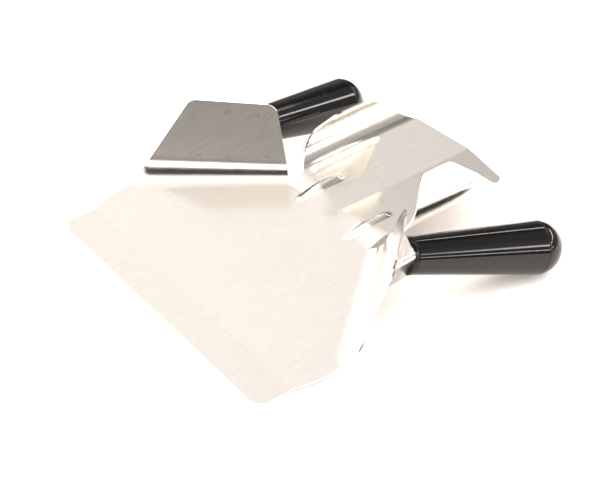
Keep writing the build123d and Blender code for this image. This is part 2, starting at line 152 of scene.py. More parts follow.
class HandleSizes(bpy.types.PropertyGroup):
    front: length("Front diameter", "Grip at the collar", 22.4)
    rear: length("Rear diameter", "Grip at the end cap", 32.6)
    collar: length("Collar diameter", "Ring between bracket and grip", 22.8)
    collar_long: length("Collar thickness", "Length of the ring", 4.0)
    seam: length("Seam place", "Bracket end face to the end cap's seam", 90.2)
    edge: length("Edge", "Rounding where grip and cap meet", 0.35)
    ring_edge: length("Collar edge", "Rounding of the ring's rims", 0.7)
    axis: FloatVectorProperty(
        name="Handle direction", description="From bracket to end cap on the left", size=3,
        subtype="DIRECTION", default=(0.1862, 0.9543, -0.2336))
    sides: IntProperty(name="Facets", description="Facets round a grip", default=128)


class ScoopColours(bpy.types.PropertyGroup):
    steel: colour("Steel", "Tint of the stainless sheet", (0.70, 0.675, 0.632))
    grip: colour("Grip", "Moulded grips and end caps", (0.0016, 0.0015, 0.0015))
    collar: colour("Collar", "Rings at the brackets", (0.0012, 0.0011, 0.0011))
    brass: colour("Brass", "Threaded inserts", (0.72, 0.50, 0.22))
    floor: colour("Floor", "Studio floor", (0.96, 0.93, 0.895))


# ---------------------------------------------------------------- shader maths
class Sock:
    """A shader value: arithmetic on it adds Math nodes."""

    def __init__(self, tree, socket):
        self.tree, self.socket = tree, socket

    def math(self, operation, *others):
        return self.tree.node("ShaderNodeMath", {"operation": operation}, self, *others)

    def __add__(self, other): return self.math("ADD", other)
    def __mul__(self, other): return self.math("MULTIPLY", other)
    def __sub__(self, other): return self.math("SUBTRACT", other)
    def __truediv__(self, other): return self.math("DIVIDE", other)
    def __radd__(self, other): return self + other
    def __rmul__(self, other): return self * other
    def __rsub__(self, other): return self * -1 + other

    def clamp(self): return self.math("MAXIMUM", 0.0).math("MINIMUM", 1.0)
    def power(self, exponent): return self.math("POWER", exponent)
    def fade(self, low, high):
        """0 below low, 1 above high, smooth between."""
        return self.tree.node("ShaderNodeMapRange", {"interpolation_type": "SMOOTHSTEP"}, Value=self,
                              **{"From Min": low, "From Max": high})


class Tree:
    """Nodes of one material or world."""

    def __init__(self, owner):
        owner.use_nodes = True
        self.nodes, self.links = owner.node_tree.nodes, owner.node_tree.links
        self.nodes.clear()

    def node(self, kind, settings=None, *values, out=0, **named):
        made = self.nodes.new(kind)
        for key, value in (settings or {}).items():
            setattr(made, key, value)
        for key, value in [*enumerate(values), *named.items()]:
            target = made.inputs[key]
            if isinstance(value, Sock):
                self.links.new(value.socket, target)
            else:
                target.default_value = value
        return Sock(self, made.outputs[out]) if len(made.outputs) else None

    def mix(self, factor, first, second):
        """Colours mixed by a factor."""
        made = self.nodes.new("ShaderNodeMix")
        made.data_type = "RGBA"
        for place, value in ((0, factor), (6, first), (7, second)):
            if isinstance(value, Sock):
                self.links.new(value.socket, made.inputs[place])
            else:
                made.inputs[place].default_value = value if place == 0 else (*value, 1)
        return Sock(self, made.outputs[2])

    def scaled(self, vector, factors, offset=(0, 0, 0), rotation=(0, 0, 0)):
        return self.node(
            "ShaderNodeMapping", None, vector, Scale=factors, Location=offset, Rotation=rotation)

    def noise(self, vector, scale, detail=2.0, rough=0.5):
        return self.node("ShaderNodeTexNoise", {"noise_dimensions": "3D"}, Vector=vector, Scale=scale,
                         Detail=detail, Roughness=rough)

    def bump(self, height, strength, distance, normal=None):
        more = {"Normal": normal} if normal else {}
        return self.node("ShaderNodeBump", None, Strength=strength, Distance=distance, Height=height, **more)

    def surface(self, **values):
        shader = self.node("ShaderNodeBsdfPrincipled", None, **values)
        self.node("ShaderNodeOutputMaterial", None, shader)
        return shader


GRAIN, FINE_GRAIN = (400, 22, 1), (900, 60, 1)      # how fine across and along the blank
SCRATCHES = ((0.35, 55.0, 0.0), (-0.6, 48.0, 3.1), (1.15, 40.0, 7.7))    # turn, fineness, shift
SMUDGE_TONE, SCRATCH_TONE = (0.55, 0.52, 0.56), (0.80, 0.78, 0.76)
# Weld ring colour: part heat tint, part painted shade round each pimple. Dome colour: a painted highlight on
# top of each weld pimple.
WELD_TINT_AND_SHADE_TONE, DOME_GLINT_TONE = (0.30, 0.27, 0.25), (0.95, 0.92, 0.88)
WELD_RADII, DOME_GLINT_RADII = (0.8 * MM, 1.6 * MM), (0.2 * MM, 0.8 * MM)      # full inside one, gone at the other
SOOT_TONE, SOOT_REACH = (0.30, 0.25, 0.22), (2.5 * MM, 9 * MM)
DUST_TONE = (0.012, 0.0115, 0.011)


def shade(tint, factor):
    """A tint made darker or lighter."""
    return [min(1, c * factor) for c in tint]


def steel_sheet(tint):
    """Brushed stainless: fine grain along the blank, scratches, soft smudges and weld marks on the walls,
    each mark with a painted highlight on its dome and a dark ring that is part heat tint, part painted shade.
    """
    made = bpy.data.materials.new("brushed_stainless")
    t = Tree(made)
    blank = t.node("ShaderNodeUVMap", {"uv_map": "blank"})
    place = t.node("ShaderNodeTexCoord", out=3)
    grain = t.noise(t.scaled(blank, GRAIN), 1.0, 5.0, 0.78)
    fine = t.noise(t.scaled(blank, FINE_GRAIN), 1.0, 2.0, 0.6)
    cloud = t.noise(place, 14.0, 3.0, 0.55)
    speck = t.noise(place, 2600.0, 2.0, 0.6)
    smudge = cloud.fade(0.52, 0.74)
    scratches = 0.0
    for angle, scale, shift in SCRATCHES:
        lines = t.scaled(blank, (scale, 4.0, 1), (shift, shift, 0), (0, 0, angle))
        cell = t.node("ShaderNodeTexVoronoi", {"feature": "DISTANCE_TO_EDGE"}, Vector=lines, Scale=1.0)
        gap = t.noise(lines, 0.8, 1.0).fade(0.60, 0.70)
        scratches = scratches + (1 - cell.fade(0.0, 0.012)) * gap
    welds, dome_glints = weld_marks_and_glints(t, blank)
    tone = t.mix(grain.fade(0.28, 0.72), shade(tint, 0.93), shade(tint, 1.05))
    tone = t.mix((fine + speck).fade(0.75, 1.25) * 0.3, tone, shade(tint, 0.84))
    tone = t.mix(smudge * 0.12, tone, SMUDGE_TONE)
    # dark ring of each weld mark: part heat tint, part painted shade round the pimple
    tone = t.mix((welds - dome_glints) * 0.45, tone, WELD_TINT_AND_SHADE_TONE)
    # painted highlight: a lighter spot on top of each weld pimple
    tone = t.mix(dome_glints * 0.2, tone, DOME_GLINT_TONE)
    tone = t.mix(scratches * 0.25, tone, SCRATCH_TONE)
    rough = 0.12 + grain * 0.08 + smudge * 0.03 + speck * 0.04
    relief = grain * 0.5 + fine * 0.3 + speck * 0.15 - scratches * 0.5
    normal = t.bump(relief, 0.10, 0.00005)
    normal = t.bump(welds, 0.2, 0.0001, normal)
    t.surface(**{"Base Color": tone, "Metallic": 1.0, "Roughness": rough, "Normal": normal})
    return made


def weld_marks_and_glints(t, blank):
    """Soft round marks where each bracket is spot welded to its wall, the same on both sides, and a painted
    highlight on each mark's dome.
    """
    parts = t.node("ShaderNodeSeparateXYZ", None, blank)
    across = (parts - 0.5).math("ABSOLUTE")
    up = t.node("ShaderNodeSeparateXYZ", None, blank, out=1)
    marks = dome_glints = 0.0
    shape = PanShape(bpy.context.scene.scoop_pan, bpy.context.scene.scoop_spout)
    for s, h in WELDS:
        x, y = shape.on_blank(s * MM, h * MM)
        dx = (across - x * BLANK_SCALE) / BLANK_SCALE
        dy = (up - y * BLANK_SCALE) / BLANK_SCALE
        away = (dx * dx + dy * dy).power(0.5)
        marks = marks + (1 - away.fade(*WELD_RADII))
        dome_glints = dome_glints + (1 - away.fade(*DOME_GLINT_RADII))
    return marks.clamp(), dome_glints.clamp()


def wall_plane():
    """A point on the left wall's inner face and its outward direction, in the row frame."""
    pan, world = bpy.context.scene.scoop_pan, pan_frame()
    shape = PanShape(pan, bpy.context.scene.scoop_spout)
    foot = shape.start + shape.out * shape.foot
    out = Vector((*(shape.out * math.sin(pan.wall_turn)), -math.cos(pan.wall_turn)))
    return world @ Vector((foot.x, foot.y, 0)), world.to_3x3() @ out


def pressed_steel(tint):
    """Pressed bracket steel: satin, with heat-tinted, sooty weld fillets where it meets the wall."""
    made = bpy.data.materials.new("pressed_stainless")
    t = Tree(made)
    place = t.node("ShaderNodeTexCoord", out=3)
    grain = t.noise(t.scaled(place, (40, 40, 900)), 1.0, 3.0, 0.6)
    mottle = t.noise(place, 210.0, 4.0, 0.65)
    cloud = t.noise(place, 45.0, 3.0, 0.6)
    split = [t.node("ShaderNodeSeparateXYZ", None, place, out=k) for k in range(3)]
    foot, out = wall_plane()
    off = split[0].math("ABSOLUTE") * out.x + split[1] * out.y + split[2] * out.z - foot.dot(out)
    burnt = (1 - off.fade(*SOOT_REACH)) * cloud.fade(0.40, 0.60)
    tone = t.mix(grain * 0.6, shade(tint, 0.85), shade(tint, 1.08))
    tone = t.mix((burnt * mottle * 1.3).clamp(), tone, SOOT_TONE)
    rough = 0.19 + grain * 0.08 + burnt * 0.18
    normal = t.bump(mottle * burnt + grain * 0.1, 0.25, 0.00018)
    t.surface(**{"Base Color": tone, "Metallic": 1.0, "Roughness": rough, "Normal": normal})
    return made


def moulded_black(name, tint, gloss, shine):
    """Moulded black plastic: fine orange peel, faint scuffs and lighter worn dust."""
    made = bpy.data.materials.new(name)
    t = Tree(made)
    place = t.node("ShaderNodeTexCoord", out=3)
    peel = t.noise(place, 900.0, 2.0, 0.5)
    pebble = t.noise(place, 3200.0, 2.0, 0.6)
    cloud = t.noise(place, 38.0, 4.0, 0.6)
    lines = t.scaled(place, (600, 60, 600), rotation=(0.25, 0, -0.2))
    scuff = t.noise(lines, 1.0, 2.0, 0.6).fade(0.62, 0.74)
    tone = t.mix(cloud * 0.7, tint, [c * 1.8 + 0.0008 for c in tint])
    tone = t.mix(scuff * 0.25, tone, DUST_TONE)
    rough = gloss + cloud.fade(0.35, 0.75) * 0.05 + scuff * 0.08
    normal = t.bump(peel * 0.6 + pebble * 0.4, 0.12, 0.00008)
    t.surface(**{"Base Color": tone, "Roughness": rough, "Normal": normal, "Specular IOR Level": shine})
    return made


def machined(name, tint, roughness):
    """Turned metal of the hidden fixings."""
    made = bpy.data.materials.new(name)
    t = Tree(made)
    place = t.node("ShaderNodeTexCoord", out=3)
    rings = t.noise(t.scaled(place, (500, 2500, 500)), 1.0, 2.0)
    tone = t.mix(rings, shade(tint, 0.8), tint)
    t.surface(**{"Base Color": tone, "Metallic": 1.0, "Roughness": rings * 0.15 + roughness,
                 "Normal": t.bump(rings, 0.2, 0.0001)})
    return made


# ---------------------------------------------------------------- mesh helpers
def activate(*objects):
    """Only these are selected, the first of them active."""
    bpy.ops.object.select_all(action="DESELECT")
    for piece in objects:
        piece.select_set(True)
    bpy.context.view_layer.objects.active = objects[0]


def edit(piece):
    activate(piece)
    bpy.ops.object.mode_set(mode="EDIT")


def object_mode():
    bpy.ops.object.mode_set(mode="OBJECT")


def cut_across(piece, points, normal, chosen=None):
    """Cuts the faces that pass chosen with one plane through each point."""
    edit(piece)
    bpy.ops.mesh.select_mode(type="FACE")
    for point in points:
        bpy.ops.mesh.select_all(action="SELECT")
        if chosen:
            bm = bmesh.from_edit_mesh(piece.data)
            for face in bm.faces:
                face.select_set(chosen(face.calc_center_bounds()))
            bmesh.update_edit_mesh(piece.data)
        bpy.ops.mesh.bisect(plane_co=point, plane_no=normal, threshold=MERGE)
    object_mode()


def apply_modifier(piece, kind, **settings):
    activate(piece)
    bpy.ops.object.modifier_add(type=kind)
    made = piece.modifiers[-1]
    for key, value in settings.items():
        setattr(made, key, value)
    bpy.ops.object.modifier_apply(modifier=made.name)


def apply_place(piece):
    activate(piece)
    bpy.ops.object.transform_apply(location=True, rotation=True, scale=True)


def smooth(piece, angle):
    activate(piece)
    bpy.ops.object.shade_smooth_by_angle(angle=math.radians(angle))


def finish_piece(piece, name, material, slot, *nodes):
    """Names a finished piece and hands it to the frame."""
    piece.name = piece.data.name = name
    piece.data.materials.clear()
    piece.data.materials.append(material)
    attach(piece, "root")
    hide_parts(*nodes)


def rounded(points, radii, steps=8):
    """A closed outline with arcs of the given radii at its corners."""
    outline = []
    for i, (corner, radius) in enumerate(zip(points, radii)):
        corner = Vector(corner)
        if not radius:
            outline.append(corner)
            continue
        back = (Vector(points[i - 1]) - corner).normalized()
        ahead = (Vector(points[(i + 1) % len(points)]) - corner).normalized()
        half = back.angle(ahead) / 2
        middle = corner + (back + ahead).normalized() * radius / math.sin(half)
        first = corner + back * radius / math.tan(half) - middle
        last = corner + ahead * radius / math.tan(half) - middle
        sweep = math.pi - 2 * half
        for k in range(steps + 1):
            share = k / steps
            arm = first * math.sin((1 - share) * sweep) + last * math.sin(share * sweep)
            outline.append(middle + arm / math.sin(sweep))
    return outline


# ---------------------------------------------------------------- folded pan
BEND_ROWS = 12                  # mesh rows round a wall's bend
MORE_ROWS = 4                   # rows of the same spacing on either side of it
ROLL_ROWS = 20                  # and round a rolled side
WALL_CUT_BACK = 5.5 * MM        # fold rows start this far inside the bend
ROLL_CUT_BACK = 4 * MM
RIB_GRID = 0.6 * MM             # spacing of the mesh lines at a rib
RIB_CUT_MORE = 0.2 * MM


class PanShape:
    """The flat blank of the pan, and where each of its points goes when it is folded."""

    def __init__(self, pan, spout):
        self.pan, self.spout = pan, spout
        self.start = Vector((pan.width / 2 + pan.flare, pan.bend_start))
        run = Vector((spout.half + 0.6 * MM, pan.neck)) - self.start
        self.along = run.normalized()
        self.out = Vector((self.along.y, -self.along.x))
        self.foot = pan.bend * math.tan(pan.wall_turn / 2)
        self.arc = pan.bend * pan.wall_turn
        self.base = -self.foot * math.cos(pan.wall_turn)
        self.end = run.length + pan.wall_overrun
        self.vee = math.atan2(spout.vee, spout.half)
        self.roll = spout.roll - self.vee
        self.roll_arc = pan.bend * self.roll

    def slant(self, reach):
        """Slant height on the wall's plane at a developed distance from the fold line."""
        if reach >= self.arc:
            return self.foot + reach - self.arc
        a = reach / self.pan.bend
        return ((self.pan.bend * math.sin(a) - self.foot) * math.cos(self.pan.wall_turn)
                + self.pan.bend * (1 - math.cos(a)) * math.sin(self.pan.wall_turn))

    def on_blank(self, s, h):
        """Blank point of a wall place beyond the bend."""
        flat = self.start + self.along * s + self.out * (h - self.foot + self.arc)
        return flat.x, flat.y

    def outline(self):
        """Half of the blank's outline, from the middle of the front edge round to the rear tip."""
        p, q = self.pan, self.spout
        half = p.width / 2
        rear_s = self.end - p.wall_rear_set
        front = []
        for k in range(9):
            reach = self.arc * k / 8
            s = p.wall_front_s * (self.slant(reach) - self.base) / (p.wall_front_h - self.base)
            front.append((self.start + self.along * s + self.out * reach).to_tuple())
        rear = []
        for k in range(8, -1, -1):
            reach = self.arc * k / 8
            s = self.end - p.wall_rear_set * (self.slant(reach) - self.base) / (p.wall_rear_h - self.base)
            rear.append((self.start + self.along * s + self.out * reach).to_tuple())
        tab_front = q.start + q.neck
        tab_rear = q.start + q.long - q.corner
        points = [(0, 0), (half, 0), (half, p.flare_start), (half + p.flare_out, p.flare_mid),
                  (self.start.x, p.bend_start - p.bend)]
        radii = [0, p.lip_corner, p.flare_round, p.flare_round, p.flare_round]
        top = [self.on_blank(p.wall_front_s, p.wall_front_h), self.on_blank(rear_s, p.wall_rear_h)]
        points += front + top + rear
        radii += [0] * len(front) + [p.wall_corner, p.wall_corner] + [0] * len(rear)
        points += [(q.half, tab_front), (q.half + q.tab, tab_front + q.front_slope * q.tab),
                   (q.half + q.tab, tab_rear - q.rear_slope * q.tab),
                   (q.half, tab_rear), (0, q.start + q.long)]
        radii += [q.tab_foot, q.tab_corner, q.tab_corner, 0, 0]
        return rounded(points, radii)

    def section(self, x):
        """Spout section at a blank distance from the middle: place across, and height."""
        q, r = self.spout, self.pan.bend
        if x <= q.half:
            soft = q.vee_soft
            level = x if x > soft else (x * x / soft + soft) / 2
            return x, q.vee * (level / q.half - 1)
        reach = x - q.half
        a = min(reach / r, self.roll)
        more = max(0, reach - self.roll_arc)
        end = self.vee + self.roll
        across = q.half + r * (math.sin(self.vee + a) - math.sin(self.vee)) + more * math.cos(end)
        return across, r * (math.cos(self.vee) - math.cos(self.vee + a)) + more * math.sin(end)

    def spout_point(self, x, y):
        q = self.spout
        across, up = self.section(x)
        down, away = math.sin(q.drop), math.cos(q.drop)
        return Vector((across, q.start + y * away + up * down, q.rise - y * down + up * away))

    def rib(self, x, y):
        """Height of a pressed rib."""
        q = self.spout
        away = math.hypot(x - q.rib_x, y - min(max(y, q.rib_start), q.rib_end))
        reach = q.rib_width / 2 + q.rib_soft
        if away >= reach:
            return 0.0
        share = min(1, max(0, (y - q.rib_start) / (q.rib_end - q.rib_start)))
        return q.rib_height * (1 + math.cos(math.pi * away / reach)) / 2 * (0.5 + 0.5 * share)

    def place(self, flat):
        """Folded place of a blank point, in the pan's frame."""
        p, q = self.pan, self.spout
        side = -1 if flat.x < 0 else 1
        x, y = abs(flat.x), flat.y
        arm = Vector((x, y)) - self.start
        s, n = arm.dot(self.along), arm.dot(self.out)
        share = min(1, max(0, s / p.bend_run))
        left = max(p.bend_keep, 1 - (1 - p.bend_keep) * s / self.end)
        bend = p.bend + p.bend_more * share * share * (3 - 2 * share) * left
        wider = bend * math.tan(p.wall_turn / 2) - self.foot
        if n > -wider and s < self.end + 0.3 * MM and y > p.bend_start - 0.01 * MM:
            a = p.wall_turn * min(1, (n + wider) / (self.arc + 2 * wider))
            more = max(0, n - self.arc - wider)
            across = bend * math.sin(a) + more * math.cos(p.wall_turn) - wider
            base = self.start + self.along * s + self.out * across
            point = Vector((base.x, base.y, bend * (1 - math.cos(a)) + more * math.sin(p.wall_turn)))
        elif y <= p.neck:
            soft = p.crease
            ahead = p.lip - y
            level = 0 if ahead < -soft else ahead if ahead > soft else (ahead + soft) ** 2 / (4 * soft)
            point = Vector((x, y, level * math.tan(p.lip_angle)))
        else:
            share = (y - p.neck) / (q.start + q.neck - p.neck)
            if share >= 1:
                point = self.spout_point(x, y - q.start)
            else:
                low, high = Vector((x, p.neck, 0)), self.spout_point(x, q.neck)
                eased = (share + share * share * (3 - 2 * share)) / 2
                point = Vector((low.x + (high.x - low.x) * eased,
                                low.y + (high.y - low.y) * share, high.z * eased))
        point.z += self.rib(x, y)
        point.x *= side
        return point


def pan_frame():
    """The pan's frame in the row frame: it rests on its lip, so its floor slopes."""
    tilt = math.radians(bpy.context.scene.scoop_stage.tilt)
    lip_edge = bpy.context.scene.scoop_pan.lip * math.tan(bpy.context.scene.scoop_pan.lip_angle)
    sheet = bpy.context.scene.scoop_pan.sheet
    turned = Matrix.Rotation(tilt, 4, "X")
    low_front = turned @ Vector((0, 0, lip_edge - sheet))
    top_front = turned @ Vector((0, 0, lip_edge))
    lowest = Vector(CAD_BOX[0])
    return Matrix.Translation((0, lowest.y - top_front.y, lowest.z - low_front.z)) @ turned


class SCOOP_OT_pan(bpy.types.Operator):
    """Folds the stainless pan from one flat blank"""
    bl_idname = "scoop.pan"
    bl_label = "Folded pan"

    def execute(self, context):
        pan, spout = context.scene.scoop_pan, context.scene.scoop_spout
        shape = PanShape(pan, spout)
        outline = shape.outline()
        mesh = bpy.data.meshes.new("pan_sheet")
        mesh.from_pydata([(p.x, p.y, 0) for p in outline], [], [list(range(len(outline)))])
        piece = bpy.data.objects.new("pan_sheet", mesh)
        context.collection.objects.link(piece)
        wide, long = max(p.x for p in outline), max(p.y for p in outline)
        start, out = shape.start, shape.out

        def near_wall(place):
            """Near a wall's bend, or beyond it."""
            arm = place.xy - start
            return arm.dot(out) > -WALL_CUT_BACK and -MM < arm.dot(shape.along) < shape.end + MM

        def on_spout(place):
            """On the rolled side, or just before it."""
            return place.y > spout.start + spout.neck - 0.1 * MM and place.x > spout.half - ROLL_CUT_BACK

        def by_rib(place):
            """Over a rib or its run-out."""
            return (abs(place.x - spout.rib_x) < reach + MM
                    and spout.rib_start - reach - MM < place.y < spout.rib_end + reach + MM)

        cut_across(piece, [(k * pan.grid, 0, 0) for k in range(1, int(wide / pan.grid) + 1)], (1, 0, 0))
        rows = [k * pan.grid for k in range(1, int(long / pan.grid) + 1)]
        rows = [y for y in rows if min(abs(y - pan.neck), abs(y - pan.lip)) > MM]
        rows += [pan.neck, pan.lip, pan.lip - pan.crease, pan.lip + pan.crease]
        cut_across(piece, [(0, y, 0) for y in rows], (0, 1, 0))
        steps = range(-MORE_ROWS, BEND_ROWS + MORE_ROWS + 1)
        folds = [start + out * (shape.arc * k / BEND_ROWS) for k in steps]
        cut_across(piece, [(f.x, f.y, 0) for f in folds], (out.x, out.y, 0), near_wall)
        rolls = [spout.half + shape.roll_arc * k / ROLL_ROWS for k in range(ROLL_ROWS + 1)]
        cut_across(piece, [(x, 0, 0) for x in rolls], (1, 0, 0), on_spout)
        cut_across(piece, [(spout.vee_soft / 2, 0, 0), (spout.vee_soft, 0, 0)], (1, 0, 0),
                   lambda c: c.y > pan.neck and c.x < pan.grid)
        reach = spout.rib_width / 2 + spout.rib_soft + RIB_CUT_MORE
        fine = RIB_GRID
        count = int(2 * reach / fine)
        ribs = [(spout.rib_x - reach + fine * k, 0, 0) for k in range(count + 1)]
        cut_across(piece, ribs, (1, 0, 0), by_rib)
        count = int((spout.rib_end - spout.rib_start + 2 * reach) / (2 * fine))
        ribs = [(0, spout.rib_start - reach + 2 * fine * k, 0) for k in range(count + 1)]
        cut_across(piece, ribs, (0, 1, 0), by_rib)
        apply_modifier(piece, "MIRROR", use_mirror_merge=True, merge_threshold=MERGE_SEAM)
        edit(piece)
        bpy.ops.mesh.select_all(action="SELECT")
        bpy.ops.mesh.remove_doubles(threshold=MERGE)
        bpy.ops.mesh.normals_make_consistent(inside=False)
        object_mode()
        if sum(face.normal.z for face in piece.data.polygons) < 0:
            piece.data.flip_normals()
        layer = piece.data.uv_layers.new(name="blank")
        for loop in piece.data.loops:
            at = piece.data.vertices[loop.vertex_index].co
            layer.data[loop.index].uv = (0.5 + at.x * BLANK_SCALE, at.y * BLANK_SCALE)
        world = pan_frame()
        for vertex in piece.data.vertices:
            vertex.co = world @ shape.place(vertex.co)
        apply_modifier(piece, "SOLIDIFY", thickness=pan.sheet, offset=-1.0, use_even_offset=True,
                       use_quality_normals=True)
        smooth(piece, 40)
        steel = steel_sheet(context.scene.scoop_colours.steel)
        finish_piece(piece, "pan_sheet", steel, "stainless", "scoop_pan")
        return {"FINISHED"}


# ---------------------------------------------------------------- brackets
BRACKET_EDGE = 0.4 * MM


class SCOOP_OT_brackets(bpy.types.Operator):
    """Presses and welds the two handle brackets"""
    bl_idname = "scoop.brackets"
    bl_label = "Handle brackets"

    def execute(self, context):
        steel = pressed_steel(context.scene.scoop_colours.steel)
        for side, _ in SIDES:
            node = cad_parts["bracket_" + side]
            piece = bpy.data.objects.new("bracket_press_" + side, node.data.copy())
            context.collection.objects.link(piece)
            edit(piece)
            bpy.ops.mesh.select_all(action="SELECT")
            bpy.ops.mesh.remove_doubles(threshold=MERGE_PRESSED)
            bpy.ops.mesh.dissolve_limited(angle_limit=math.radians(1))
            object_mode()
            apply_modifier(piece, "BEVEL", width=BRACKET_EDGE, segments=3, limit_method="ANGLE",
                           angle_limit=math.radians(35))
            smooth(piece, 35)
            finish_piece(piece, "bracket_press_" + side, steel, "stainless", "bracket_" + side)
        return {"FINISHED"}


# ---------------------------------------------------------------- handles
def handle_line(side, sign):
    """Bracket end face centre, direction and turn of one handle, from its collar in the CAD."""
    sizes = bpy.context.scene.scoop_handle
    axis = Vector(sizes.axis).normalized()
    axis.x *= sign
    low, high = (Vector(corner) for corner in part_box("collar_" + side))
    seat = (low + high) / 2 - axis * sizes.collar_long / 2
    return seat, axis, axis.to_track_quat("Z", "Y").to_euler()


def rims(piece, tests):
    """Selects the edges whose both ends pass one of the tests."""
    edit(piece)
    bpy.ops.mesh.select_mode(type="EDGE")
    bpy.ops.mesh.select_all(action="DESELECT")
    bm = bmesh.from_edit_mesh(piece.data)
    for edge in bm.edges:
        edge.select_set(any(all(test(v.co) for v in edge.verts) for test in tests))
    bmesh.update_edit_mesh(piece.data)


class SCOOP_OT_handles(bpy.types.Operator):
    """Turns the grips, end caps and collars"""
    bl_idname = "scoop.handles"
    bl_label = "Handles"

    def execute(self, context):
        sizes, colours = context.scene.scoop_handle, context.scene.scoop_colours
        black = moulded_black("moulded_grip", colours.grip, 0.05, 0.32)
        ring = moulded_black("moulded_collar", colours.collar, 0.14, 0.2)
        for side, sign in SIDES:
            seat, axis, turned = handle_line(side, sign)
            bpy.ops.object.select_all(action="DESELECT")
            depth = sizes.seam - sizes.collar_long
            bpy.ops.mesh.primitive_cone_add(
                vertices=sizes.sides, radius1=sizes.front / 2, radius2=sizes.rear / 2,
                depth=depth, location=(0, 0, depth / 2))
            grip = context.object
            apply_place(grip)
            rims(grip, [lambda c: c.z < TINY, lambda c: c.z > depth - TINY])
            bpy.ops.mesh.bevel(offset=sizes.edge, segments=3, affect="EDGES")
            object_mode()
            close = 1.6 * sizes.edge
            cut_across(grip, [(0, 0, z) for z in (close, depth * 0.5, depth - close)], (0, 0, 1))
            grip.matrix_world = Matrix.LocRotScale(seat + axis * sizes.collar_long, turned, None)
            apply_place(grip)
            smooth(grip, 40)
            finish_piece(grip, "grip_body_" + side, black, "grip_black", "grip_" + side)

            radius = sizes.rear / 2
            bpy.ops.object.select_all(action="DESELECT")
            bpy.ops.mesh.primitive_uv_sphere_add(
                segments=sizes.sides, ring_count=sizes.sides // 2, radius=radius, location=(0, 0, 0))
            cap = context.object
            edit(cap)
            bpy.ops.mesh.select_all(action="SELECT")
            bpy.ops.mesh.bisect(plane_co=(0, 0, 0), plane_no=(0, 0, 1), clear_inner=True, use_fill=True)
            object_mode()
            rims(cap, [lambda c: abs(c.z) < TINY and c.xy.length > radius * 0.99])
            bpy.ops.mesh.bevel(offset=sizes.edge, segments=3, affect="EDGES")
            bpy.ops.mesh.select_all(action="SELECT")
            bpy.ops.mesh.normals_make_consistent(inside=False)
            object_mode()
            cap.matrix_world = Matrix.LocRotScale(seat + axis * sizes.seam, turned, None)
            apply_place(cap)
            smooth(cap, 40)
            finish_piece(cap, "end_dome_" + side, black, "grip_black", "end_cap_" + side)

            bpy.ops.object.select_all(action="DESELECT")
            bpy.ops.mesh.primitive_cylinder_add(vertices=sizes.sides, radius=sizes.collar / 2,
                                                depth=sizes.collar_long, location=(0, 0, 0))
            collar = context.object
            half = sizes.collar_long / 2
            rims(collar, [lambda c: c.z < TINY - half, lambda c: c.z > half - TINY])
            bpy.ops.mesh.bevel(offset=sizes.ring_edge, segments=4, affect="EDGES")
            object_mode()
            collar.matrix_world = Matrix.LocRotScale(seat + axis * half, turned, None)
            apply_place(collar)
            smooth(collar, 40)
            finish_piece(collar, "collar_ring_" + side, ring, "collar_black", "collar_" + side)
        return {"FINISHED"}


class SCOOP_OT_fixings(bpy.types.Operator):
    """Finishes the bolts and threaded inserts inside the handles"""
    bl_idname = "scoop.fixings"
    bl_label = "Hidden fixings"

    def execute(self, context):
        steel = machined("bolt_turned", (0.62, 0.61, 0.60), 0.25)
        brass = machined("insert_turned", context.scene.scoop_colours.brass, 0.25)
        for side, _ in SIDES:
            for node, finish in (("bolt_", steel), ("insert_", brass)):
                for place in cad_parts[node + side].material_slots:
                    place.link = "OBJECT"
                    place.material = finish
        return {"FINISHED"}


# ---------------------------------------------------------------- stage
class StageValues(bpy.types.PropertyGroup):
    tilt: number("Rest slope", "Slope of the pan floor at rest, in degrees", 7.5136)
    eye: FloatVectorProperty(name="Camera place", description="Where the camera stands", size=3,
                             default=(0.77571, -0.570154, 0.715283), unit="LENGTH")
    view: FloatVectorProperty(name="Camera turn", description="Camera rotation", size=3, subtype="EULER",
                              default=(0.932488, 0.000239, 0.947959))
    lens: number("Lens", "Focal length in millimetres on a 36 mm frame", 118.571)
    sky: number("Overhead", "Brightness of the large soft box", 1.42)
    sky_tint: colour("Sky tint", "Colour of the soft boxes", (1.0, 0.95, 0.92))
    key: number("Floor light", "Power of the soft light on the floor", 98.0)
    low_key: number("Low floor light", "Power of the low light from the camera's side", 8.0)


def add_area(name, place, size, power, tint):
    """A soft light that faces the scoop."""
    light = bpy.data.lights.new(name, "AREA")
    light.shape, light.size, light.size_y = "RECTANGLE", size[0], size[1]
    light.energy, light.color = power, tint
    lamp = bpy.data.objects.new(name, light)
    lamp.matrix_world = Matrix.LocRotScale(Vector(place), (-Vector(place)).to_track_quat("-Z", "Y"), None)
    bpy.context.collection.objects.link(lamp)
    return lamp


LAMPS = (                           # name, place, size, tint
    ("floor_light", (-0.2, 0.2, 1.5), (3.6, 3.6), (1, 0.98, 0.955)),
    ("under_light", (0.95, -0.65, 0.4), (1.4, 0.5), (1, 0.97, 0.94)),
)
TO_CAMERA, TO_RIGHT = (0.70, -0.71), (0.71, 0.70)
